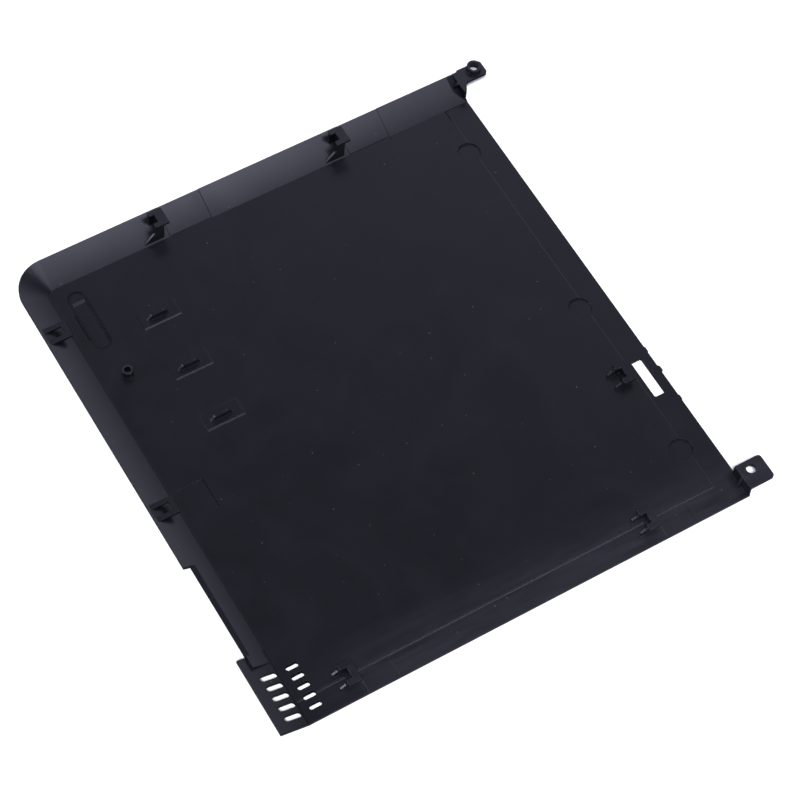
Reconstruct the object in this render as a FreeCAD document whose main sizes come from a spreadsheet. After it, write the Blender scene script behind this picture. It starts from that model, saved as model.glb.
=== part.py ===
import FreeCAD, Part
import math
import os
import Sketcher

# Inner side of a moulded laptop drive cover: X runs along the top edge, Y towards it, Z up from the
# outer face. While it is drawn, zero is the left rim, the front edge and the outer face.
SIZES = {
    # Tray
    "cover_width": 160.0,
    "cover_depth": 172.3,
    "rim_height": 5.7,
    "floor_thick": 1.45,
    "left_run": 8.9,
    "top_run": 9.1,
    "rim_corner": 11.0,
    "floor_corner": 2.5,
    # Vent corner and its slots
    "vent_depth": 25.9,
    "vent_rise": 3.0,
    "vent_overhang": 0.6,
    "slot_width": 1.9,
    "slot_count": 5,
    "outer_slot_start": 2.8,
    "outer_slot_length": 5.4,
    "outer_slot_first": 3.85,
    "outer_slot_pitch": 3.5,
    "inner_slot_start": 11.1,
    "inner_slot_length": 4.1,
    "inner_slot_first": 4.2,
    "inner_slot_pitch": 3.42,
    # Cut-out in the left wall, with the catch at its front end
    "cutout_depth": 2.2,
    "cutout_end": 58.6,
    "cutout_ledge": 3.9,
    "catch_start": 2.6,
    "catch_reach": 7.9,
    "catch_length": 4.2,
    # Thinner border with ejector marks
    "front_border": 7.9,
    "right_border": 8.7,
    "border_step": 0.25,
    "border_run": 0.6,
    "ejector_radius": 3.7,
    "ejector_depth": 0.45,
    "ejector_inset": 9.9,
    "ejector_front": 22.9,
    "ejector_middle": 79.6,
    "ejector_back": 145.8,
    # Latch window and the nubs on the edge beside it
    "window_width": 3.7,
    "window_length": 13.7,
    "window_inset": 3.0,
    "window_start": 41.9,
    "window_corner": 0.55,
    "nub_reach": 0.6,
    "nub_length": 1.6,
    "nub_start": 48.8,
    "front_nub_start": 37.4,
    "back_nub_start": 56.6,
    # Snap hooks: a forked plate carried by two gusset ribs and a post
    "hook_plate": 1.0,
    "gusset_thick": 0.85,
    "post_thick": 1.2,
    "low_hook_width": 7.3,
    "low_hook_arm": 1.95,
    "low_gusset_inset": 0.8,
    "low_hook_height": 3.25,
    "low_hook_length": 6.55,
    "low_hook_fork": 2.35,
    "low_hook_post": 4.35,
    "low_gusset_run": 1.8,
    "low_gusset_drop": 1.0,
    "front_hook_start": 21.4,
    "front_hook_spacing": 102.05,
    "front_hook_edge": 3.4,
    "right_hook_inset": 9.4,
    "right_hook_edge": 48.8,
    "tall_hook_width": 6.1,
    "tall_hook_arm": 1.6,
    "tall_gusset_inset": 0.25,
    "tall_hook_height": 8.05,
    "tall_hook_length": 8.4,
    "tall_hook_fork": 3.7,
    "tall_hook_post": 5.4,
    "tall_gusset_run": 3.2,
    "tall_gusset_rise": 3.4,
    "tall_gusset_foot": 0.55,
    "tall_hook_start": 43.5,
    "tall_hook_spacing": 64.4,
    "tall_hook_edge": 0.3,
    # Hook plates on the left wall
    "plate_height": 5.3,
    "plate_thick": 0.9,
    "plate_reach": 8.1,
    "plate_width": 6.0,
    "plate_arm": 1.5,
    "plate_band": 1.6,
    "plate_front": 75.4,
    "plate_spacing": 68.4,
    # Lifter marks beside the hooks
    "mark_depth": 0.14,
    "mark_slope": 0.4,
    "mark_gap": 0.4,
    "mark_length": 10.7,
    "plate_mark_overlap": 2.2,
    "wall_mark_length": 14.6,
    "wall_mark_foot": 1.9,
    # Pads with half-round ribs
    "pad_start": 28.75,
    "pad_width": 13.2,
    "pad_length": 6.6,
    "pad_height": 0.25,
    "pad_slope": 0.5,
    "pad_first": 96.55,
    "pad_pitch": 20.1,
    "pad_count": 3,
    "rib_width": 7.9,
    "rib_crown": 4.3,
    "rib_round": 1.3,
    "rib_height": 2.2,
    "rib_thick": 1.0,
    "rib_offset": 2.85,
    "rib_shift": 0.5,
    # Boss and oblong recess
    "boss_left": 17.3,
    "boss_front": 125.9,
    "boss_outer": 3.4,
    "boss_bore": 2.1,
    "boss_height": 2.5,
    "recess_left": 13.3,
    "recess_front": 137.3,
    "recess_width": 5.3,
    "recess_length": 22.0,
    "recess_depth": 0.3,
    "well_inset": 0.5,
    "well_start": 2.0,
    "well_length": 16.7,
    "well_ramp": 1.2,
    "well_depth": 0.4,
    # Screw ears
    "ear_height": 5.8,
    "ear_thick": 1.2,
    "ear_corner": 1.1,
    "ear_bore": 3.1,
    "ear_collar": 4.7,
    "riser_inset": 0.8,
    "ear_web": 0.9,
    "ear_web_run": 1.4,
    "front_ear_reach": 8.1,
    "front_ear_width": 8.5,
    "front_ear_riser": -0.2,
    "front_ear_rim": 0.4,
    "front_ear_hole": 3.0,
    "front_ear_edge": 5.4,
    "back_ear_reach": 9.8,
    "back_ear_width": 5.4,
    "back_ear_past": 0.5,
    "back_ear_riser": 0.1,
    "back_ear_rim": 1.6,
    "back_ear_hole": 6.4,
    "back_ear_inset": 2.15,
    "back_ear_skirt": 3.0,
    "back_ear_neck": 1.75,
    "back_ear_fillet": 2.1,
    "back_ear_step": 1.2,
    "back_ear_chamfer": 0.4,
}

DRAWING_SPAN = 4.0  # how far a cutting outline reaches past the edge that it opens
CAVITY_SPAN = 1.0  # how far the tray is drawn above its rim before the cavity trims it


class Size:
    """A length together with the sheet expression that gives it."""

    def __init__(self, value, text):
        self.value = float(value)
        self.text = text

    def __add__(self, other):
        other = as_size(other)
        return Size(self.value + other.value, f"({self.text} + {other.text})")

    def __sub__(self, other):
        other = as_size(other)
        return Size(self.value - other.value, f"({self.text} - {other.text})")

    def __mul__(self, other):
        other = as_size(other)
        return Size(self.value * other.value, f"({self.text} * {other.text})")

    def __truediv__(self, other):
        other = as_size(other)
        return Size(self.value / other.value, f"({self.text} / {other.text})")

    def __neg__(self):
        return as_size(0) - self


def as_size(number):
    if isinstance(number, Size):
        return number
    return Size(number, repr(float(number)))


def make_sheet(doc):
    """Driving dimensions, one named cell each."""
    sheet = doc.addObject("Spreadsheet::Sheet", "sizes")
    for row, (name, value) in enumerate(SIZES.items(), start=1):
        sheet.set(f"A{row}", name)
        sheet.set(f"B{row}", str(value))
        sheet.setAlias(f"B{row}", name)
    doc.recompute()
    return sheet


doc = FreeCAD.newDocument("drive_cover")
sheet = make_sheet(doc)
body = doc.addObject("PartDesign::Body", "drive_cover")
body.Label = "drive_cover"


def size(name):
    return Size(sheet.get(name), f"sizes.{name}")


# Sketches

def origin_feature(role):
    return next(item for item in body.Origin.OriginFeatures if item.Role == role)


def new_sketch(name, plane, lift=None):
    """Empty sketch on one of the body's own planes, lifted along the plane's normal."""
    sketch = body.newObject("Sketcher::SketchObject", name)
    sketch.AttachmentSupport = [(origin_feature(plane), "")]
    sketch.MapMode = "FlatFace"
    if lift is not None:
        sketch.setExpression("AttachmentOffset.Base.z", lift.text)
    return sketch


def flat_sketch(name, height=None):
    return new_sketch(name, "XY_Plane", height)


def front_sketch(name, depth):
    """Sketch facing the front edge, at a given distance from it: across is X, up is Z."""
    return new_sketch(name, "XZ_Plane", -depth)


def side_sketch(name, across):
    """Sketch seen along X, at a given distance from the left rim: across is Y, up is Z."""
    return new_sketch(name, "YZ_Plane", across)


def held_at(geometry, point, corner):
    """Rules that hold one point at its two sheet-driven coordinates."""
    rules = []
    for kind, length in zip(("DistanceX", "DistanceY"), corner):
        length = as_size(length)
        rules.append((Sketcher.Constraint(kind, -1, 1, geometry, point, length.value), length))
    return rules


def held_round(geometry, radius):
    return [(Sketcher.Constraint("Radius", geometry, radius.value), radius)]


def joined(kind, *places):
    return [(Sketcher.Constraint(kind, *places), None)]


def apply_rules(sketch, rules):
    """Add the rules in one go and tie each measured one to the sheet."""
    first = sketch.ConstraintCount
    sketch.addConstraint([rule for rule, length in rules])
    for index, (rule, length) in enumerate(rules, start=first):
        if length is not None:
            sketch.setExpression(f"Constraints[{index}]", length.text)


def arc_between(centre, radius, start, end):
    """Counter-clockwise arc from start to end."""
    circle = Part.Circle(centre, FreeCAD.Vector(0, 0, 1), radius)
    angles = [math.atan2(p.y - centre.y, p.x - centre.x) for p in (start, end)]
    return Part.ArcOfCircle(circle, *angles)


def rounding(before, corner, after, radius):
    """Tangent points and centre of an arc that rounds a corner."""
    back = (before - corner).normalize()
    ahead = (after - corner).normalize()
    half = back.getAngle(ahead) / 2
    reach = radius / math.tan(half)
    middle = (back + ahead).normalize()
    return corner + back * reach, corner + ahead * reach, corner + middle * (radius / math.sin(half))


def draw_outline(sketch, corners):
    """Closed outline, counter-clockwise; a corner is (x, y), or (x, y, radius) where it is rounded."""
    points = [FreeCAD.Vector(as_size(c[0]).value, as_size(c[1]).value, 0) for c in corners]
    count = len(points)
    starts = list(points)
    ends = list(points)
    arcs = {}
    for i, corner in enumerate(corners):
        if len(corner) == 3:
            before, after = points[i - 1], points[(i + 1) % count]
            ends[i], starts[i], centre = rounding(before, points[i], after, corner[2].value)
            left_turn = (points[i] - before).cross(after - points[i]).z > 0
            tips = (ends[i], starts[i]) if left_turn else (starts[i], ends[i])
            arcs[i] = (sketch.addGeometry(arc_between(centre, corner[2].value, *tips)), left_turn)
    lines = []
    for i in range(count):
        lines.append(sketch.addGeometry(Part.LineSegment(starts[i], ends[(i + 1) % count])))
    rules = []
    for i, corner in enumerate(corners):
        incoming, outgoing = lines[i - 1], lines[i]
        if i not in arcs:
            rules += joined("Coincident", incoming, 2, outgoing, 1)
            rules += held_at(outgoing, 1, corner)
            continue
        arc, left_turn = arcs[i]
        first, last = (1, 2) if left_turn else (2, 1)
        apex = sketch.addGeometry(Part.Point(points[i]), True)
        rules += joined("Tangent", incoming, 2, arc, first)
        rules += joined("Tangent", arc, last, outgoing, 1)
        rules += joined("PointOnObject", apex, 1, incoming)
        rules += joined("PointOnObject", apex, 1, outgoing)
        rules += held_at(apex, 1, corner[:2])
        rules += held_round(arc, corner[2])
    apply_rules(sketch, rules)
    return sketch


def draw_box(sketch, left, right, low, high):
    return draw_outline(sketch, [(left, low), (right, low), (right, high), (left, high)])


def draw_circle(sketch, centre, diameter):
    radius = as_size(diameter) / 2
    middle = FreeCAD.Vector(as_size(centre[0]).value, as_size(centre[1]).value, 0)
    circle = sketch.addGeometry(Part.Circle(middle, FreeCAD.Vector(0, 0, 1), radius.value))
    apply_rules(sketch, held_at(circle, 3, centre) + held_round(circle, radius))
    return sketch


def draw_slot(sketch, first, second, width):
    """Round-ended slot between two end centres, drawn along X or along Y."""
    radius = as_size(width) / 2
    a, b = [FreeCAD.Vector(as_size(c[0]).value, as_size(c[1]).value, 0) for c in (first, second)]
    along = (b - a).normalize()
    side = FreeCAD.Vector(-along.y, along.x, 0) * radius.value
    cap_a = sketch.addGeometry(arc_between(a, radius.value, a + side, a - side))
    cap_b = sketch.addGeometry(arc_between(b, radius.value, b - side, b + side))
    low = sketch.addGeometry(Part.LineSegment(a - side, b - side))
    high = sketch.addGeometry(Part.LineSegment(b + side, a + side))
    rules = []
    for one, two in ((cap_a, low), (low, cap_b), (cap_b, high), (high, cap_a)):
        rules += joined("Tangent", one, 2, two, 1)
    rules += held_at(cap_a, 3, first) + held_at(cap_b, 3, second) + held_round(cap_a, radius)
    apply_rules(sketch, rules)
    return sketch


# Features

def extrude(kind, name, sketch, length):
    feature = body.newObject(kind, name)
    feature.Profile = sketch
    feature.setExpression("Length", as_size(length).text)
    return feature


def pad(name, sketch, length):
    return extrude("PartDesign::Pad", name, sketch, length)


def pocket(name, sketch, length):
    return extrude("PartDesign::Pocket", name, sketch, length)


def loft(kind, name, lower, upper):
    feature = body.newObject(kind, name)
    feature.Profile = lower
    feature.Sections = [upper]
    feature.Ruled = True
    return feature


def repeat(name, originals, axis, pitch, count):
    """Row of copies along one of the body's axes."""
    doc.recompute()
    feature = body.newObject("PartDesign::LinearPattern", name)
    feature.Originals = originals
    feature.Direction = (origin_feature(axis), [""])
    feature.setExpression("Length", (pitch * (count - 1)).text)
    feature.setExpression("Occurrences", count.text)
    body.Tip = feature
    return feature


# Values that several features share

width = size("cover_width")
depth = size("cover_depth")
rim = size("rim_height")
thick = size("floor_thick")
left_line = size("left_run")
top_line = depth - size("top_run")
wall_rise = rim - thick
border_top = thick - size("border_step")
border_foot = size("front_border") - size("border_run")
vent_depth = size("vent_depth")
riser_line = width - size("riser_inset")
ear_back = depth + size("back_ear_past")


def left_slope(across):
    """Height of the left wall's inner face."""
    return thick + (left_line - across) * wall_rise / left_line


def top_slope(along):
    """Height of the top wall's inner face."""
    return thick + (along - top_line) * wall_rise / size("top_run")


def vent_slope(across):
    """Height of the vent corner's inner face."""
    return thick + (left_line - across) * size("vent_rise") / (left_line + size("vent_overhang"))


def top_wall_core(along):
    return top_slope(along) - thick / 2


def floor_core(along):
    return thick / 2


# Tray: a floor whose left and top walls flare to a rim with one large round corner

def tray_outline(name, height, flare, overrun):
    """Tray section; flare is 0 at the floor line and 1 at the rim, and overrun passes the open sides."""
    def between(floor_value, rim_value):
        return floor_value + (rim_value - floor_value) * flare

    left = between(left_line, as_size(0))
    top = between(top_line, depth)
    corner = between(size("floor_corner"), size("rim_corner"))
    right = width + overrun
    front = as_size(0) - overrun
    sketch = flat_sketch(name, height)
    return draw_outline(sketch, [(left, front), (right, front), (right, top), (left, top, corner)])


def make_tray():
    floor_level = as_size(0)
    at_floor = as_size(0)
    at_rim = as_size(1)
    outer_low = tray_outline("outer_floor", floor_level, at_floor, 0)
    outer_high = tray_outline("outer_rim", wall_rise, at_rim, 0)
    loft("PartDesign::AdditiveLoft", "outer_form", outer_low, outer_high)
    pad("rim_band", tray_outline("rim_outline", wall_rise, at_rim, 0), thick + CAVITY_SPAN)
    past_rim = (wall_rise + CAVITY_SPAN) / wall_rise
    inner_low = tray_outline("inner_floor", thick, at_floor, DRAWING_SPAN)
    inner_high = tray_outline("inner_rim", rim + CAVITY_SPAN, past_rim, DRAWING_SPAN)
    loft("PartDesign::SubtractiveLoft", "tray_cavity", inner_low, inner_high)


# Vent corner: the left wall stops short, and a flatter slope carries the slots

def make_vent_corner():
    outer_edge = -size("vent_overhang")
    clear = flat_sketch("vent_clear_outline", rim)
    draw_box(clear, -DRAWING_SPAN, left_line, -DRAWING_SPAN, vent_depth)
    pocket("vent_clear", clear, rim)
    root = left_line + thick
    section = draw_outline(front_sketch("vent_section", vent_depth), [
        (outer_edge, vent_slope(outer_edge) - thick),
        (left_line, 0),
        (root, 0),
        (root, thick),
        (left_line, thick),
        (outer_edge, vent_slope(outer_edge)),
    ])
    pad("vent_floor", section, vent_depth)


def make_catch():
    """Stub of the wall left standing on the vent corner, at the front end of the cut-out."""
    start = size("catch_start")
    reach = size("catch_reach")
    section = draw_outline(front_sketch("catch_section", vent_depth), [
        (start, vent_slope(start) - thick / 2),
        (reach, vent_slope(reach) - thick / 2),
        (reach, left_slope(reach)),
        (start, left_slope(start)),
    ])
    pad("catch", section, size("catch_length"))


def make_cutout():
    ledge = size("cutout_ledge")
    edge = size("cutout_depth")
    section = draw_outline(front_sketch("cutout_section", vent_depth), [
        (-DRAWING_SPAN, -DRAWING_SPAN),
        (edge, -DRAWING_SPAN),
        (edge, ledge),
        (left_line, ledge),
        (left_line, rim + DRAWING_SPAN),
        (-DRAWING_SPAN, rim + DRAWING_SPAN),
    ])
    pocket("cutout", section, size("cutout_end") - vent_depth)


def make_slots(column):
    """One column of round-ended vents, right through the floor."""
    radius = size("slot_width") / 2
    start = size(f"{column}_slot_start")
    length = size(f"{column}_slot_length")
    row = size(f"{column}_slot_first")
    outline = draw_slot(
        flat_sketch(f"{column}_slot_outline", rim),
        (start + radius, row),
        (start + length - radius, row),
        size("slot_width"),
    )
    first = pocket(f"{column}_slot", outline, rim + DRAWING_SPAN)
    repeat(f"{column}_slots", [first], "Y_Axis", size(f"{column}_slot_pitch"), size("slot_count"))


# Border, window and marks

def make_border():
    """The floor slopes down to a thinner border along the front and the right edge."""
    right_end = width + DRAWING_SPAN
    front = draw_outline(side_sketch("front_border_section", right_end), [
        (-DRAWING_SPAN, border_top),
        (border_foot, border_top),
        (size("front_border"), thick),
        (-DRAWING_SPAN, thick),
    ])
    pocket("front_border", front, right_end - left_line)
    step_line = width - size("right_border")
    right = draw_outline(front_sketch("right_border_section", as_size(-DRAWING_SPAN)), [
        (step_line + size("border_run"), border_top),
        (right_end, border_top),
        (right_end, thick),
        (step_line, thick),
    ])
    pocket("right_border", right, top_line + DRAWING_SPAN)


def make_ejector_marks():
    """Round prints of the ejector pins, sunk below the border."""
    marks = flat_sketch("ejector_outlines", thick)
    across = width - size("ejector_inset")
    for place in ("front", "middle", "back"):
        draw_circle(marks, (across, size(f"ejector_{place}")), size("ejector_radius") * 2)
    pocket("ejector_marks", marks, size("border_step") + size("ejector_depth"))


def make_window():
    right = width - size("window_inset")
    left = right - size("window_width")
    front = size("window_start")
    back = front + size("window_length")
    corner = size("window_corner")
    outline = draw_outline(flat_sketch("window_outline", rim), [
        (left, front, corner), (right, front, corner), (right, back, corner), (left, back, corner),
    ])
    pocket("window", outline, rim + DRAWING_SPAN)
    nubs = flat_sketch("nub_outlines")
    draw_nub(nubs, size("nub_start"), size("nub_reach"))
    draw_nub(nubs, size("front_nub_start"), size("nub_reach") / 2)
    draw_nub(nubs, size("back_nub_start"), size("nub_reach") / 2)
    pad("nubs", nubs, border_top)


def draw_nub(sketch, start, reach):
    """Low nub with sloping ends on the right edge."""
    end = start + size("nub_length")
    draw_outline(sketch, [
        (width - reach, start - reach * 2), (width, start - reach), (width + reach, start),
        (width + reach, end), (width, end + reach), (width - reach, end + reach * 2),
    ])


def make_floor_mark(name, left, right, front, back, level):
    """Shallow print of the lifter that formed a hook's undercut, with sloping ends, in a floor level."""
    slope = size("mark_slope")
    bottom = level - size("mark_depth")
    section = draw_outline(front_sketch(f"{name}_section", front), [
        (left + slope, bottom), (right - slope, bottom), (right, level), (left, level),
    ])
    pocket(name, section, back - front)


def make_wall_mark(name, left):
    """The same print beside a tall hook, running from the floor up the top wall."""
    foot = top_line - size("wall_mark_foot")
    drop = size("mark_depth")
    right = left + size("wall_mark_length")
    outline = draw_outline(side_sketch(f"{name}_outline", right), [
        (foot, thick - drop),
        (top_line, thick - drop),
        (depth, rim - drop),
        (depth, rim + DRAWING_SPAN),
        (foot, rim + DRAWING_SPAN),
    ])
    pocket(name, outline, size("wall_mark_length"))


# Snap hooks

def make_hook(name, kind, start, front, gussets, core):
    """Forked plate on two gusset ribs and a post; core(y) is a height inside the floor or wall."""
    back = front + size(f"{kind}_hook_width")
    arm = size(f"{kind}_hook_arm")
    inset = size(f"{kind}_gusset_inset")
    rib = size("gusset_thick")
    top = thick + size(f"{kind}_hook_height")
    under = top - size("hook_plate")
    fork = start + size(f"{kind}_hook_fork")
    post = start + size(f"{kind}_hook_post")
    end = start + size(f"{kind}_hook_length")
    seat = top - size("hook_plate") / 2
    parts = []
    places = (("front", front + inset + rib), ("back", back - inset))
    for (side, behind), gusset in zip(places, gussets):
        root = core(behind - rib / 2)
        section = front_sketch(f"{name}_{side}_gusset_section", behind)
        draw_outline(section, [
            (post + size("post_thick"), root),
            (post + size("post_thick"), seat),
            (fork, seat),
        ] + gusset(start, fork, under, root))
        parts.append(pad(f"{name}_{side}_gusset", section, rib))
    wall = draw_outline(side_sketch(f"{name}_post_section", post), [
        (front + inset, core(front + inset)),
        (back - inset, core(back - inset)),
        (back - inset, seat),
        (front + inset, seat),
    ])
    parts.append(pad(f"{name}_post", wall, size("post_thick")))
    plate = draw_outline(flat_sketch(f"{name}_plate_outline", under), [
        (fork, front), (end, front), (end, back), (fork, back),
        (fork, back - arm), (post, back - arm), (post, front + arm), (fork, front + arm),
    ])
    parts.append(pad(f"{name}_plate", plate, size("hook_plate")))
    return parts


def low_gusset(start, fork, under, root):
    """Short bevel below the plate, with an upright foot on the floor."""
    return [
        (fork, under),
        (start + size("low_gusset_run"), under),
        (start, under - size("low_gusset_drop")),
        (start, root),
    ]


def tall_gusset(start, fork, under, root):
    """Long bevel that runs down into the top wall."""
    foot = thick + size("tall_gusset_foot")
    shoulder = foot + size("tall_gusset_rise")
    run = size("tall_gusset_run")
    return [
        (fork, shoulder),
        (start + run, shoulder),
        (start + run * (root - foot) / size("tall_gusset_rise"), root),
    ]


def plain_gusset(start, fork, under, root):
    """Upright front edge, straight down from the fork."""
    return [(fork, root)]


def make_hooks():
    count = as_size(2)
    tall_front = top_line + size("tall_hook_edge")
    tall_pair = (tall_gusset, plain_gusset)
    tall = make_hook("tall_hook", "tall", size("tall_hook_start"), tall_front, tall_pair, top_wall_core)
    repeat("tall_hooks", tall, "X_Axis", size("tall_hook_spacing"), count)
    low_front = size("front_hook_edge")
    low_pair = (low_gusset, low_gusset)
    low = make_hook("front_hook", "low", size("front_hook_start"), low_front, low_pair, floor_core)
    repeat("front_hooks", low, "X_Axis", size("front_hook_spacing"), count)
    right_start = width - size("right_hook_inset") - size("low_hook_length")
    make_hook("right_hook", "low", right_start, size("right_hook_edge"), low_pair, floor_core)


def make_hook_plates():
    """Flat forked plates that stand out from the left wall, open towards the rim."""
    front = size("plate_front")
    back = front + size("plate_width")
    reach = size("plate_reach")
    arm = size("plate_arm")
    band = reach - size("plate_band")
    root = plate_root()
    outline = draw_outline(flat_sketch("plate_outline", size("plate_height") - size("plate_thick")), [
        (root, front), (reach, front), (reach, back), (root, back),
        (root, back - arm), (band, back - arm), (band, front + arm), (root, front + arm),
    ])
    first = pad("plate", outline, size("plate_thick"))
    repeat("plates", [first], "Y_Axis", size("plate_spacing"), as_size(2))


def plate_root():
    """Where a hook plate's arms start, midway through the wall's thickness."""
    middle = size("plate_height") - size("plate_thick") / 2
    inner = left_line - (middle - thick) * left_line / wall_rise
    return inner - thick * left_line / wall_rise / 2


def make_marks():
    gap = size("mark_gap")
    length = size("mark_length")
    before_edge = as_size(-DRAWING_SPAN)
    for place, start in row_of("tall_hook"):
        make_wall_mark(f"{place}_wall_mark", start + size("tall_hook_length"))
    for place, start in row_of("front_hook"):
        left = start + size("low_hook_length") + gap
        make_floor_mark(f"{place}_hook_mark", left, left + length, before_edge, border_foot, border_top)
    front = size("plate_front")
    beyond = size("plate_mark_overlap")
    left = left_line + gap
    for place, start, right in (
        ("front", front, left + length),
        ("back", front + size("plate_spacing"), size("recess_left") - gap),
    ):
        back = start + size("plate_width") + beyond
        make_floor_mark(f"{place}_plate_mark", left, right, start - beyond, back, thick)


def row_of(hook):
    """Start of the left and the right hook of a pair."""
    first = size(f"{hook}_start")
    return (("left", first), ("right", first + size(f"{hook}_spacing")))


# Locating features on the floor

def make_pads():
    left = size("pad_start")
    front = size("pad_first")
    right = left + size("pad_width")
    back = front + size("pad_length")
    slope = size("pad_slope")
    top = thick + size("pad_height")
    base = draw_box(flat_sketch("pad_foot", thick), left, right, front, back)
    crest = draw_box(flat_sketch("pad_top", top), left + slope, right - slope, front + slope, back - slope)
    plate = loft("PartDesign::AdditiveLoft", "pad", base, crest)
    middle = left + size("pad_width") / 2 - size("rib_shift")
    foot = size("rib_width") / 2
    crown = size("rib_crown") / 2
    ridge = top + size("rib_height")
    section = front_sketch("rib_section", front + size("rib_offset") + size("rib_thick") / 2)
    draw_outline(section, [
        (middle - foot, thick), (middle + foot, thick),
        (middle + crown, ridge, size("rib_round")), (middle - crown, ridge, size("rib_round")),
    ])
    rib = pad("rib", section, size("rib_thick"))
    repeat("pads", [plate, rib], "Y_Axis", size("pad_pitch"), size("pad_count"))


def make_boss():
    centre = (size("boss_left"), size("boss_front"))
    wall = flat_sketch("boss_outline", thick)
    pad("boss", draw_circle(wall, centre, size("boss_outer")), size("boss_height"))
    hole = flat_sketch("boss_hole_outline", thick + size("boss_height"))
    pocket("boss_hole", draw_circle(hole, centre, size("boss_bore")), size("boss_height"))


def make_recess():
    radius = size("recess_width") / 2
    across = size("recess_left") + radius
    first = (across, size("recess_front") + radius)
    second = (across, size("recess_front") + size("recess_length") - radius)
    outline = draw_slot(flat_sketch("recess_outline", thick), first, second, size("recess_width"))
    pocket("recess", outline, size("recess_depth"))
    level = thick - size("recess_depth")
    bottom = level - size("well_depth")
    start = size("recess_front") + size("well_start")
    end = start + size("well_length")
    inset = size("well_inset")
    well_right = size("recess_left") + size("recess_width") - inset
    well = draw_outline(side_sketch("well_section", well_right), [
        (start, bottom), (end - size("well_ramp"), bottom), (end, level), (end, thick), (start, thick),
    ])
    pocket("well", well, size("recess_width") - inset * 2)


# Screw ears

def make_ear(name, plan, front, back, hole, core):
    """Plate on a riser at the right edge, with a collared screw hole and a small web."""
    level = size("ear_height")
    riser = draw_outline(side_sketch(f"{name}_riser_section", riser_line), [
        (front, core(front)), (back, core(back)), (back, level), (front, level),
    ])
    pad(f"{name}_riser_wall", riser, size("riser_inset") + size(f"{name}_riser"))
    plate = draw_outline(flat_sketch(f"{name}_outline", level - size("ear_thick")), plan)
    pad(f"{name}_plate", plate, size("ear_thick"))
    collar = draw_circle(flat_sketch(f"{name}_collar_outline", level), hole, size("ear_collar"))
    pad(f"{name}_collar", collar, size(f"{name}_rim"))
    top = level + size(f"{name}_rim")
    bore = draw_circle(flat_sketch(f"{name}_bore_outline", top), hole, size("ear_bore"))
    pocket(f"{name}_bore", bore, size(f"{name}_rim") + size("ear_thick") * 2)
    web = size("ear_web")
    middle = (front + back) / 2 + web / 2
    root = core(middle)
    toe = riser_line - size("ear_web_run")
    seat = riser_line + size("riser_inset") / 2
    section = draw_outline(front_sketch(f"{name}_web_section", middle), [
        (toe, root), (seat, root), (seat, level), (riser_line, level), (toe, root + thick),
    ])
    pad(f"{name}_web", section, web)


def make_front_ear():
    front = as_size(0)
    back = size("front_ear_width")
    tip = width + size("front_ear_reach")
    corner = size("ear_corner")
    plan = [(tip, front, corner), (tip, back, corner), (riser_line, back), (riser_line, front)]
    hole = (width + size("front_ear_hole"), size("front_ear_edge"))
    make_ear("front_ear", plan, front, back, hole, floor_core)


def make_back_ear():
    """This ear hangs on a slanted neck below it, and stands a little past the rim."""
    front = ear_back - size("back_ear_width")
    low = front - size("back_ear_skirt")
    tip = width + size("back_ear_reach")
    corner = size("ear_corner")
    step = width + size("back_ear_step")
    plan = [
        (width + size("back_ear_riser"), low),
        (width + size("back_ear_neck"), front, size("back_ear_fillet")),
        (tip, front, corner),
        (tip, ear_back, corner),
        (step, ear_back),
        (step - size("back_ear_chamfer"), depth),
        (riser_line, depth),
        (riser_line, low),
    ]
    hole = (width + size("back_ear_hole"), ear_back - size("back_ear_inset"))
    make_ear("back_ear", plan, low, depth, hole, top_wall_core)


def make_cover():
    make_tray()
    make_vent_corner()
    make_catch()
    make_cutout()
    make_border()
    make_ejector_marks()
    make_marks()
    make_hooks()
    make_hook_plates()
    make_pads()
    make_boss()
    make_recess()
    make_window()
    make_front_ear()
    make_back_ear()
    make_slots("outer")
    make_slots("inner")


def centre_cover():
    """Origin under the middle of the whole outline, on the outer face."""
    across = (width + size("back_ear_reach") - size("vent_overhang")) / 2
    along = (ear_back - size("back_ear_inset") + size("ear_collar") / 2) / 2
    body.setExpression("Placement.Base.x", (-across).text)
    body.setExpression("Placement.Base.y", (-along).text)


def check_document():
    """Every object is sound, and every feature adds or removes material as it should."""
    for item in doc.Objects:
        if "Invalid" in item.State or "Error" in item.State:
            raise RuntimeError(f"{item.Name} failed: {item.State}")
    before = 0.0
    for item in body.Group:
        if not item.isDerivedFrom("PartDesign::Feature"):
            continue
        removes = any(item.isDerivedFrom(f"PartDesign::{kind}") for kind in ("Pocket", "SubtractiveLoft"))
        removes = removes or item.Name.endswith("_slots")
        change = item.Shape.Volume - before
        if change == 0 or (change > 0) == removes:
            raise RuntimeError(f"{item.Name} changed the volume by {change:.4f}")
        before = item.Shape.Volume
    shape = body.Shape
    if shape.isNull() or not shape.isValid() or len(shape.Solids) != 1:
        raise RuntimeError("the cover is not one sound solid")


make_cover()
centre_cover()
doc.recompute()
check_document()
os.makedirs("parts", exist_ok=True)
body.Shape.exportStep("parts/drive_cover.step")
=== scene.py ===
import math

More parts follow.
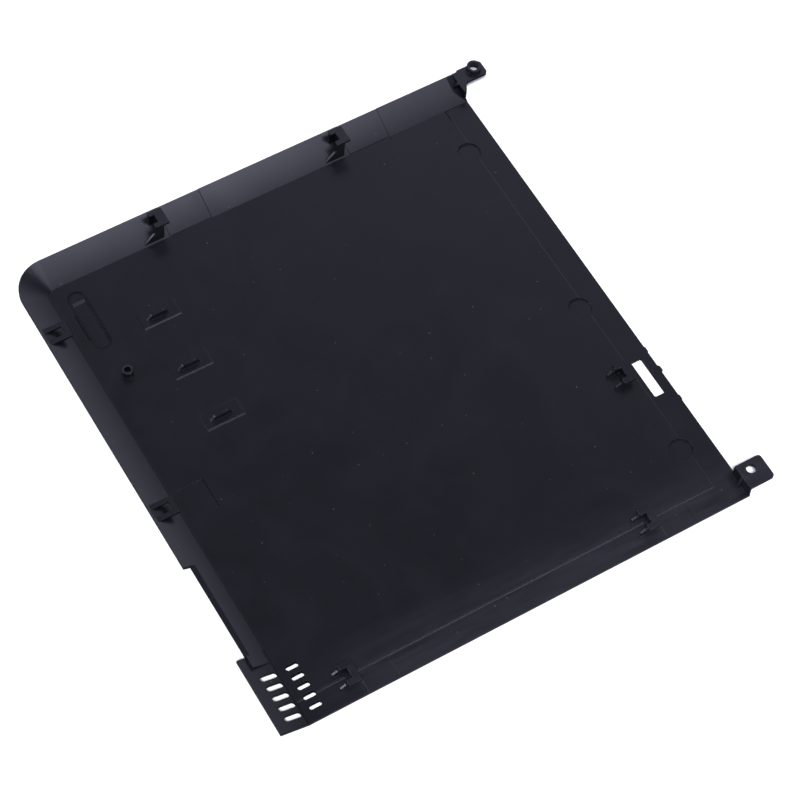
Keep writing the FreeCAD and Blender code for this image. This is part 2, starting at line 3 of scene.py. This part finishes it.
import bpy
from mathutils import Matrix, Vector


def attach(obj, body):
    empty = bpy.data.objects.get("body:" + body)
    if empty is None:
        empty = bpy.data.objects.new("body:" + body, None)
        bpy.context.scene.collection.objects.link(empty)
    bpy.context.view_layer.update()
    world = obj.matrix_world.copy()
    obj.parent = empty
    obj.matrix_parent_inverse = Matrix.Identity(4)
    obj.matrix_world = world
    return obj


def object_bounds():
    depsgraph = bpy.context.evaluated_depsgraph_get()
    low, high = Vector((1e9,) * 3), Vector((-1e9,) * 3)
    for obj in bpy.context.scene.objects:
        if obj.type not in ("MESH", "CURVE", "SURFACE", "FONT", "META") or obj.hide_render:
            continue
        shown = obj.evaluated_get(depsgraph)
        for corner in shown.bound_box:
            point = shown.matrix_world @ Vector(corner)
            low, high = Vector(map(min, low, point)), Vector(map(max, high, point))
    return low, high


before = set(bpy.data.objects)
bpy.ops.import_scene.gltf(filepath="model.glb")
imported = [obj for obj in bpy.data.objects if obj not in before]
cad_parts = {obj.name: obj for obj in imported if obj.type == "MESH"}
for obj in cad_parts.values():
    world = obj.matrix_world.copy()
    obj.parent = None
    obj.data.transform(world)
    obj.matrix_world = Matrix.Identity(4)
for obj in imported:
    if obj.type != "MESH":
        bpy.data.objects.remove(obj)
cad_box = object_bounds()
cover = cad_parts["drive_cover"]

MM = 0.001

# Edges of the whole part, and the left rim, which the vent corner stands past

LEFT_EDGE, FRONT_EDGE = cad_box[0][:2]
RIGHT_EDGE, BACK_EDGE = cad_box[1][:2]
VENT_OVERHANG = 0.6 * MM
LEFT_RIM = LEFT_EDGE + VENT_OVERHANG

# Radius on the moulding's sharp corners

WELD_DISTANCE = 0.002 * MM
FLAT_ANGLE = math.radians(0.5)
EDGE_RADIUS = 0.05 * MM
EDGE_SEGMENTS = 2
EDGE_ANGLE = math.radians(28)

# Lips that narrow the inner vent slots

SLOT_X = LEFT_RIM + 13.15 * MM
SLOT_Y = FRONT_EDGE + 4.2 * MM
SLOT_PITCH = 3.42 * MM
SLOT_COUNT = 5
SLOT_LENGTH = 4.1 * MM
SLOT_WIDTH = 1.9 * MM
LIP_OPENING = 1.4 * MM
LIP_ROOT = 0.1 * MM
LIP_FOOT = 0.05 * MM
LIP_TOP = 1.1 * MM
LIP_END_POINTS = 13

# Places where the plastic's finish changes, and where painted shade, a painted reflection and a
# painted highlight lie on its gloss

LEFT_WALL = LEFT_EDGE + 9.5 * MM
BACK_WALL = BACK_EDGE - 9.8 * MM
FLOOR_TOP = 1.5 * MM
RIM_TOP = 5.7 * MM
STEP_MIDDLE = 1.385 * MM
STEP_HALF = 0.05 * MM
PAD_MIDDLE = 1.575 * MM
PAD_HALF = 0.115 * MM
SOFT_EDGE = 0.2 * MM
HOLLOW_REACH = 2.5 * MM

EAR_RISER = RIGHT_EDGE - 10.4 * MM
EAR_UNDERSIDE = 5.65 * MM
BACK_POCKET = EAR_RISER - 2.5 * MM
POCKET_SLOPE = 0.72
FRONT_POCKET_FADE = EAR_RISER - 3.5 * MM
FRONT_POCKET_FULL = EAR_RISER - 0.5 * MM
FRONT_EAR_BACK = FRONT_EDGE + 8.5 * MM
FRONT_EAR_FADE = FRONT_EAR_BACK + 1.5 * MM

RECESS_MIDDLE = LEFT_RIM + 15.95 * MM
RECESS_FRONT = FRONT_EDGE + 139.95 * MM
RECESS_BACK = FRONT_EDGE + 156.65 * MM
RECESS_RADIUS = 2.65 * MM
RECESS_LINE = 0.7 * MM

FORK_X = LEFT_RIM + 3.5 * MM
FORK_Y = FRONT_EDGE + 78.4 * MM
FORK_SPACING = 68.4 * MM
FORK_LENGTH = 6.0 * MM
FORK_WIDTH = 3.0 * MM

BOSS_X = LEFT_RIM + 17.3 * MM
BOSS_Y = FRONT_EDGE + 125.9 * MM
BOSS_RADIUS = 1.9 * MM
BOSS_SOFT_EDGE = 0.1 * MM
# Heights where the painted highlight on the boss rim fades in
BOSS_HIGHLIGHT_FADE = 3.55 * MM
BOSS_HIGHLIGHT_FULL = 3.75 * MM

VENTS_X = LEFT_EDGE + 9.0 * MM
VENTS_Y = FRONT_EDGE + 11.25 * MM
VENTS_Z = 0.585 * MM
VENTS_HALF_X = 7.0 * MM
VENTS_HALF_Y = 8.75 * MM
VENTS_HALF_Z = 0.565 * MM

HAZE_FULL_Y = FRONT_EDGE + 4.0 * MM
HAZE_FADE_Y = FRONT_EDGE + 19.0 * MM
HAZE_FADE_X = LEFT_EDGE + 14.0 * MM
HAZE_FULL_X = LEFT_EDGE + 30.0 * MM

# Gloss of the floor, a painted reflection up the sloping walls, and factors of painted shade and
# painted highlight on it

FLOOR_GLOSS = 0.5
# Painted reflection: specular level of the walls at their foot and at their rim
WALL_FOOT_PAINTED_REFLECTION = 0.29
WALL_RIM_PAINTED_REFLECTION = 0.68
# Painted shade factors on the specular level below; the boss factor is a painted highlight
HOLLOW_SHADE_FACTOR = 0.32
STEP_SHADE_FACTOR = 0.2
PAD_SLOPE_SHADE_FACTOR = 0.45
POCKET_SHADE_FACTOR = 0.22
RECESS_SHADE_FACTOR = 0.5
FORK_SHADE_FACTOR = 0.5
VENT_SHADE_FACTOR = 0.1
BOSS_HIGHLIGHT_FACTOR = 2.2

# Other values of the finish: a scale counts pattern cells in a metre

PLASTIC_IOR = 1.5
ROUGHNESS_LOW = 0.25
ROUGHNESS_HIGH = 0.36
FLOW_SCALE = 38.0
FLOW_DARK = 0.3
FLOW_LIGHT = 0.72
STREAK_SCALE = 420.0
STREAK_SQUEEZE = (0.12, 1.0, 1.0)
STREAK_LOW = 0.1
STREAK_HIGH = 0.9
SPECK_SCALE = 100.0
SPECK_CORE = 0.012
SPECK_EDGE = 0.022
SPECK_CHOICE = 0.5
GRAIN_SCALE = 5200.0
GRAIN_STRENGTH = 0.05
GRAIN_DEPTH = 0.01 * MM
SHADING_RADIUS = 0.2 * MM
SHADING_SAMPLES = 8
# Ambient occlusion where the painted shade in hollows is full and where it ends, and normal tilts
# that bound the painted shade
HOLLOW_CLOSED = 0.2
HOLLOW_OPEN = 0.8
SIDEWAYS_TILT = 0.2
UNDERSIDE_TILT = -0.2
PAPER_ROUGHNESS = 0.9

# Colours

PLASTIC_DARK = (0.0034, 0.0034, 0.0054, 1)
PLASTIC_LIGHT = (0.0052, 0.0052, 0.0076, 1)
HAZE = (0.020, 0.020, 0.026, 1)
DUST = (0.10, 0.10, 0.105, 1)
PAPER = (0.95, 0.95, 0.95, 1)
LAMP = (0.78, 0.79, 1.0)
ROOM = (0.80, 0.81, 1.0, 1)

# Stage: places in metres, turns in degrees, the camera's own sizes in millimetres

FLOOR_SIZE = 6.0
FLOOR_GAP = 0.1 * MM
BOX_DISTANCE = 1.6
ROOM_STRENGTH = 0.17
SENSOR_WIDTH = 36.0
LENS_LENGTH = 125.68
CAMERA_PLACE = (-0.24436, -0.348895, 0.73231)
CAMERA_TURN = (29.7152, -2.9368, -30.5258)


def round_edges(piece):
    """Give the moulding's sharp corners a small radius."""
    weld = piece.modifiers.new("weld", "WELD")
    weld.merge_threshold = WELD_DISTANCE
    flat = piece.modifiers.new("flat_faces", "DECIMATE")
    flat.decimate_type = "DISSOLVE"
    flat.angle_limit = FLAT_ANGLE
    bevel = piece.modifiers.new("edge_radius", "BEVEL")
    bevel.width = EDGE_RADIUS
    bevel.segments = EDGE_SEGMENTS
    bevel.limit_method = "ANGLE"
    bevel.angle_limit = EDGE_ANGLE
    bevel.use_clamp_overlap = False
    for polygon in piece.data.polygons:
        polygon.use_smooth = False


# Slot lips

def slot_loop(middle, length, width, height):
    """Points round a slot that lies along X, with half-round ends."""
    radius = width / 2
    reach = length / 2 - radius
    points = []
    for side in (1, -1):
        for step in range(LIP_END_POINTS):
            angle = math.pi * (step / (LIP_END_POINTS - 1) - 0.5)
            x = side * (reach + radius * math.cos(angle))
            y = side * radius * math.sin(angle)
            points.append((SLOT_X + x, middle + y, height))
    return points


def make_slot_lips(material):
    """A closed ring in each inner slot, rooted in the slot's wall."""
    outer = (SLOT_LENGTH + 2 * LIP_ROOT, SLOT_WIDTH + 2 * LIP_ROOT)
    inner = (SLOT_LENGTH, LIP_OPENING)
    loops = [(outer, LIP_FOOT), (outer, LIP_TOP), (inner, LIP_TOP), (inner, LIP_FOOT)]
    count = 2 * LIP_END_POINTS
    points, faces = [], []
    for index in range(SLOT_COUNT):
        middle = SLOT_Y + index * SLOT_PITCH
        first = len(points)
        for (length, width), height in loops:
            points += slot_loop(middle, length, width, height)
        for loop in range(len(loops)):
            here = first + loop * count
            there = first + (loop + 1) % len(loops) * count
            for step in range(count):
                after = (step + 1) % count
                faces.append((here + step, here + after, there + after, there + step))
    mesh = bpy.data.meshes.new("slot_lips")
    mesh.from_pydata(points, [], faces)
    mesh.materials.append(material)
    lips = bpy.data.objects.new("slot_lips", mesh)
    bpy.context.scene.collection.objects.link(lips)
    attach(lips, "root")


# Node helpers

def link_nodes(tree, source, output, target, entry):
    tree.links.new(source.outputs[output], target.inputs[entry])


def add_node(tree, kind, **inputs):
    """New node with some of its inputs set."""
    node = tree.nodes.new(kind)
    for name, value in inputs.items():
        node.inputs[name].default_value = value
    return node


def ramp(tree, source, output, low, high, at_low=0.0, at_high=1.0):
    """Even change between two values of the source, and no change outside them."""
    node = tree.nodes.new("ShaderNodeMapRange")
    node.inputs["From Min"].default_value = low
    node.inputs["From Max"].default_value = high
    node.inputs["To Min"].default_value = at_low
    node.inputs["To Max"].default_value = at_high
    link_nodes(tree, source, output, node, "Value")
    return node


def band(tree, across, axis, middle, half):
    """White in a band across one axis, and black outside it."""
    node = tree.nodes.new("ShaderNodeMath")
    node.operation = "COMPARE"
    node.inputs[1].default_value = middle
    node.inputs[2].default_value = half
    link_nodes(tree, across, axis, node, 0)
    return node


def factor(tree, mask, where_white):
    """1 where the mask is black, and the given factor where it is white."""
    return ramp(tree, mask, 0, 0, 1, 1.0, where_white)


def combine(tree, operation, first, second):
    """Maths on the first outputs of two nodes."""
    node = tree.nodes.new("ShaderNodeMath")
    node.operation = operation
    link_nodes(tree, first, 0, node, 0)
    link_nodes(tree, second, 0, node, 1)
    return node


def multiply(tree, *factors):
    product = factors[0]
    for other in factors[1:]:
        product = combine(tree, "MULTIPLY", product, other)
    return product


def tint(tree, amount, under, colour):
    """Lay a colour over what is below, by a varying amount."""
    node = tree.nodes.new("ShaderNodeMix")
    node.data_type = "RGBA"
    below, above = [entry for entry in node.inputs if entry.type == "RGBA"]
    above.default_value = colour
    tree.links.new(under, below)
    link_nodes(tree, amount, 0, node, "Factor")
    return next(result for result in node.outputs if result.type == "RGBA")


def plan_distance(tree, across, middle, front, back):
    """Distance in plan from a line that runs from front to back."""
    along = add_node(tree, "ShaderNodeClamp", Min=front, Max=back)
    link_nodes(tree, across, "Y", along, "Value")
    nearest = add_node(tree, "ShaderNodeCombineXYZ", X=middle)
    link_nodes(tree, along, "Result", nearest, "Y")
    plan = tree.nodes.new("ShaderNodeCombineXYZ")
    link_nodes(tree, across, "X", plan, "X")
    link_nodes(tree, across, "Y", plan, "Y")
    distance = tree.nodes.new("ShaderNodeVectorMath")
    distance.operation = "DISTANCE"
    link_nodes(tree, plan, "Vector", distance, 0)
    link_nodes(tree, nearest, "Vector", distance, 1)
    return distance


# Plastic: each function adds the nodes of one part of its finish

def plastic_colour(tree, place, across, flow):
    """Black with flow marks, a streaky haze along the front edge and a little dust."""
    base = tree.nodes.new("ShaderNodeValToRGB")
    dark, light = base.color_ramp.elements
    dark.position, dark.color = FLOW_DARK, PLASTIC_DARK
    light.position, light.color = FLOW_LIGHT, PLASTIC_LIGHT
    link_nodes(tree, flow, "Fac", base, "Fac")

    front = ramp(tree, across, "Y", HAZE_FADE_Y, HAZE_FULL_Y)
    beside_vents = ramp(tree, across, "X", HAZE_FADE_X, HAZE_FULL_X)
    along = add_node(tree, "ShaderNodeMapping", Scale=STREAK_SQUEEZE)
    link_nodes(tree, place, "Object", along, "Vector")
    streaks = add_node(tree, "ShaderNodeTexNoise", Scale=STREAK_SCALE, Detail=3.0, Distortion=0.4)
    link_nodes(tree, along, "Vector", streaks, "Vector")
    strength = ramp(tree, streaks, "Fac", STREAK_LOW, STREAK_HIGH)
    haze = multiply(tree, front, beside_vents, strength)
    colour = tint(tree, haze, base.outputs["Color"], HAZE)

    specks = add_node(tree, "ShaderNodeTexVoronoi", Scale=SPECK_SCALE, Randomness=1.0)
    specks.voronoi_dimensions = "2D"
    link_nodes(tree, place, "Object", specks, "Vector")
    size = ramp(tree, specks, "Distance", SPECK_EDGE, SPECK_CORE)
    chosen = ramp(tree, specks, "Color", SPECK_CHOICE, 1.0)
    return tint(tree, multiply(tree, size, chosen), colour, DUST)


def wall_painted_reflection(tree, across, back_wall):
    """Gloss of the floor, and a painted reflection on the sloping walls: their specular level
    grows from foot to rim, in place of a curve the walls lack.
    """
    left_wall = ramp(tree, across, "X", LEFT_WALL, LEFT_WALL - SOFT_EDGE)
    walls = combine(tree, "MAXIMUM", left_wall, back_wall)
    up_the_wall = ramp(tree, across, "Z", FLOOR_TOP, RIM_TOP, WALL_FOOT_PAINTED_REFLECTION, WALL_RIM_PAINTED_REFLECTION)
    gloss_with_painted_light = add_node(tree, "ShaderNodeMix", A=FLOOR_GLOSS)
    link_nodes(tree, walls, "Value", gloss_with_painted_light, "Factor")
    link_nodes(tree, up_the_wall, "Result", gloss_with_painted_light, "B")
    return gloss_with_painted_light


def hollow_painted_shade(tree):
    """Painted shade: the specular level drops in corners and hollows, by ambient occlusion."""
    hollows = add_node(tree, "ShaderNodeAmbientOcclusion", Distance=HOLLOW_REACH)
    hollows.only_local = True
    hollows.samples = SHADING_SAMPLES
    return ramp(tree, hollows, "AO", HOLLOW_CLOSED, HOLLOW_OPEN, HOLLOW_SHADE_FACTOR)


def step_painted_shade(tree, across, facing):
    """Painted shade on the low slopes round the floor, and on the left and right slopes of the
    pads, that tones down their edge highlights.
    """
    floor_slopes = band(tree, across, "Z", STEP_MIDDLE, STEP_HALF)
    not_sideways = band(tree, facing, "X", 0, SIDEWAYS_TILT)
    sideways = ramp(tree, not_sideways, "Value", 1, 0)
    pad_slopes = multiply(tree, band(tree, across, "Z", PAD_MIDDLE, PAD_HALF), sideways)
    on_floor = factor(tree, floor_slopes, STEP_SHADE_FACTOR)
    on_pads = factor(tree, pad_slopes, PAD_SLOPE_SHADE_FACTOR)
    return multiply(tree, on_floor, on_pads)


def pocket_painted_shade(tree, across, back_wall):
    """Painted shade in the pockets between the screw ears and the tray."""
    slant = tree.nodes.new("ShaderNodeMath")
    slant.operation = "MULTIPLY_ADD"
    slant.inputs[1].default_value = POCKET_SLOPE
    link_nodes(tree, across, "X", slant, 0)
    link_nodes(tree, across, "Z", slant, 2)
    foot = POCKET_SLOPE * EAR_RISER + FLOOR_TOP
    above_foot = ramp(tree, slant, "Value", foot, foot + SOFT_EDGE)
    by_back_ear = ramp(tree, across, "X", BACK_POCKET - SOFT_EDGE, BACK_POCKET + SOFT_EDGE)
    back_pocket = multiply(tree, above_foot, by_back_ear, back_wall)

    by_front_ear = ramp(tree, across, "X", FRONT_POCKET_FADE, FRONT_POCKET_FULL)
    front_part = ramp(tree, across, "Y", FRONT_EAR_FADE, FRONT_EAR_BACK)
    front_pocket = multiply(tree, by_front_ear, front_part)

    under_ears = ramp(tree, across, "Z", EAR_UNDERSIDE, EAR_UNDERSIDE - SOFT_EDGE)
    pockets = combine(tree, "MAXIMUM", back_pocket, front_pocket)
    return factor(tree, multiply(tree, pockets, under_ears), POCKET_SHADE_FACTOR)


def recess_painted_shade(tree, across, upper_side):
    """Painted shade along the outline of the oblong recess."""
    distance = plan_distance(tree, across, RECESS_MIDDLE, RECESS_FRONT, RECESS_BACK)
    inside = ramp(tree, distance, "Value", RECESS_RADIUS - RECESS_LINE, RECESS_RADIUS)
    outside = ramp(tree, distance, "Value", RECESS_RADIUS + RECESS_LINE, RECESS_RADIUS)
    return factor(tree, multiply(tree, inside, outside, upper_side), RECESS_SHADE_FACTOR)


def fork_painted_shade(tree, across, upper_side):
    """Painted shade on the wall between the arms of the two hook plates."""
    front_fork = band(tree, across, "Y", FORK_Y, FORK_WIDTH / 2)
    back_fork = band(tree, across, "Y", FORK_Y + FORK_SPACING, FORK_WIDTH / 2)
    forks = combine(tree, "MAXIMUM", front_fork, back_fork)
    along = band(tree, across, "X", FORK_X, FORK_LENGTH / 2)
    return factor(tree, multiply(tree, forks, along, upper_side), FORK_SHADE_FACTOR)


def vent_painted_shade(tree, across):
    """Painted shade inside the vent slots."""
    inside = multiply(
        tree,
        band(tree, across, "X", VENTS_X, VENTS_HALF_X),
        band(tree, across, "Y", VENTS_Y, VENTS_HALF_Y),
        band(tree, across, "Z", VENTS_Z, VENTS_HALF_Z),
    )
    return factor(tree, inside, VENT_SHADE_FACTOR)


def boss_painted_highlight(tree, across):
    """Painted highlight on the rim of the boss."""
    distance = plan_distance(tree, across, BOSS_X, BOSS_Y, BOSS_Y)
    on_boss = ramp(tree, distance, "Value", BOSS_RADIUS, BOSS_RADIUS - BOSS_SOFT_EDGE)
    at_top = ramp(tree, across, "Z", BOSS_HIGHLIGHT_FADE, BOSS_HIGHLIGHT_FULL)
    return factor(tree, multiply(tree, on_boss, at_top), BOSS_HIGHLIGHT_FACTOR)


def plastic_normal(tree, place):
    """Fine grain, over edges that look a little rounder than they are."""
    edge = add_node(tree, "ShaderNodeBevel", Radius=SHADING_RADIUS)
    edge.samples = SHADING_SAMPLES
    grain = add_node(tree, "ShaderNodeTexNoise", Scale=GRAIN_SCALE, Detail=2.0)
    link_nodes(tree, place, "Object", grain, "Vector")
    bump = add_node(tree, "ShaderNodeBump", Strength=GRAIN_STRENGTH, Distance=GRAIN_DEPTH)
    link_nodes(tree, grain, "Fac", bump, "Height")
    link_nodes(tree, edge, "Normal", bump, "Normal")
    return bump


def cover_plastic():
    """Satin black moulded plastic."""
    material = bpy.data.materials.new("cover_plastic")
    material.use_nodes = True
    tree = material.node_tree
    shader = tree.nodes["Principled BSDF"]
    shader.inputs["IOR"].default_value = PLASTIC_IOR

    place = tree.nodes.new("ShaderNodeTexCoord")
    across = tree.nodes.new("ShaderNodeSeparateXYZ")
    link_nodes(tree, place, "Object", across, "Vector")
    facing = tree.nodes.new("ShaderNodeSeparateXYZ")
    link_nodes(tree, place, "Normal", facing, "Vector")
    flow = add_node(
        tree, "ShaderNodeTexNoise", Scale=FLOW_SCALE, Detail=4.0, Roughness=0.6, Distortion=1.2
    )
    link_nodes(tree, place, "Object", flow, "Vector")
    upper_side = ramp(tree, facing, "Z", UNDERSIDE_TILT, 0)
    back_wall = ramp(tree, across, "Y", BACK_WALL, BACK_WALL + SOFT_EDGE)

    # Specular level: floor gloss, with painted reflection, painted shade and a painted highlight
    # multiplied in
    gloss_with_painted_light = multiply(
        tree,
        wall_painted_reflection(tree, across, back_wall),
        hollow_painted_shade(tree),
        step_painted_shade(tree, across, facing),
        pocket_painted_shade(tree, across, back_wall),
        recess_painted_shade(tree, across, upper_side),
        fork_painted_shade(tree, across, upper_side),
        vent_painted_shade(tree, across),
        boss_painted_highlight(tree, across),
    )
    roughness = ramp(tree, flow, "Fac", 0, 1, ROUGHNESS_LOW, ROUGHNESS_HIGH)
    tree.links.new(plastic_colour(tree, place, across, flow), shader.inputs["Base Color"])
    link_nodes(tree, roughness, "Result", shader, "Roughness")
    link_nodes(tree, gloss_with_painted_light, "Value", shader, "Specular IOR Level")
    link_nodes(tree, plastic_normal(tree, place), "Normal", shader, "Normal")
    return material


def floor_paper():
    """White paper without gloss."""
    material = bpy.data.materials.new("floor_paper")
    material.use_nodes = True
    shader = material.node_tree.nodes["Principled BSDF"]
    shader.inputs["Roughness"].default_value = PAPER_ROUGHNESS
    shader.inputs["Specular IOR Level"].default_value = 0.0
    shader.inputs["Base Color"].default_value = PAPER
    return material


# Stage

def make_floor():
    """Paper just below the part, kept out of the plastic's reflections."""
    bpy.ops.mesh.primitive_plane_add(size=FLOOR_SIZE, location=(0, 0, -FLOOR_GAP))
    floor = bpy.context.object
    floor.name = "floor"
    floor.data.materials.append(floor_paper())
    floor.visible_glossy = False


def aim_at_part(item):
    item.rotation_euler = (-item.location).to_track_quat("-Z", "Y").to_euler()


def towards(azimuth, elevation, distance=1.0):
    """Point at a compass angle from +X towards +Y and a height above the horizon, in degrees."""
    a, e = math.radians(azimuth), math.radians(elevation)
    flat = distance * math.cos(e)
    return Vector((math.cos(a) * flat, math.sin(a) * flat, distance * math.sin(e)))


def soft_box(name, azimuth, elevation, size, radiance):
    """Lamp with a wide face; radiance is 1 where it would look plain white."""
    lamp = bpy.data.lights.new(name, "AREA")
    lamp.shape = "RECTANGLE"
    lamp.size, lamp.size_y = size
    lamp.energy = radiance * math.pi * size[0] * size[1]
    lamp.color = LAMP
    item = bpy.data.objects.new(name, lamp)
    item.location = towards(azimuth, elevation, BOX_DISTANCE)
    bpy.context.scene.collection.objects.link(item)
    aim_at_part(item)


def sun(name, azimuth, elevation, spread, strength):
    """Even light for the paper, kept out of the plastic's reflections."""
    lamp = bpy.data.lights.new(name, "SUN")
    lamp.angle = math.radians(spread)
    lamp.energy = strength
    item = bpy.data.objects.new(name, lamp)
    item.location = towards(azimuth, elevation)
    item.visible_glossy = False
    bpy.context.scene.collection.objects.link(item)
    aim_at_part(item)


def make_light():
    """A dim even room, one sun, and soft boxes that the plastic mirrors."""
    world = bpy.data.worlds.new("studio")
    world.use_nodes = True
    background = world.node_tree.nodes["Background"]
    background.inputs["Color"].default_value = ROOM
    background.inputs["Strength"].default_value = ROOM_STRENGTH
    bpy.context.scene.world = world
    sun("key", azimuth=234, elevation=62, spread=10, strength=3.6)
    soft_box("front_overhead", azimuth=-47, elevation=68, size=(0.36, 0.60), radiance=4.25)
    soft_box("front_low", azimuth=-72, elevation=24, size=(0.8, 0.5), radiance=2.5)
    soft_box("left_high", azimuth=160, elevation=42, size=(0.24, 0.24), radiance=22.0)
    soft_box("left_low", azimuth=155, elevation=12, size=(0.6, 0.4), radiance=5.0)
    soft_box("camera_side", azimuth=234, elevation=52, size=(0.5, 0.5), radiance=4.0)
    soft_box("right_wall", azimuth=50, elevation=38, size=(1.9, 1.0), radiance=0.62)
    soft_box("right_low", azimuth=31, elevation=20, size=(0.7, 0.45), radiance=0.55)
    bpy.context.scene.view_settings.view_transform = "Standard"


def make_camera():
    """The photograph's viewpoint: a long lens, about 60 degrees above the floor."""
    data = bpy.data.cameras.new("camera")
    data.sensor_width = SENSOR_WIDTH
    data.lens = LENS_LENGTH
    camera = bpy.data.objects.new("camera", data)
    camera.location = CAMERA_PLACE
    camera.rotation_euler = [math.radians(angle) for angle in CAMERA_TURN]
    bpy.context.scene.collection.objects.link(camera)
    bpy.context.scene.camera = camera


round_edges(cover)
cover.data.materials.clear()
plastic = cover_plastic()
cover.data.materials.append(plastic)
make_slot_lips(plastic)
make_floor()
make_light()
make_camera()
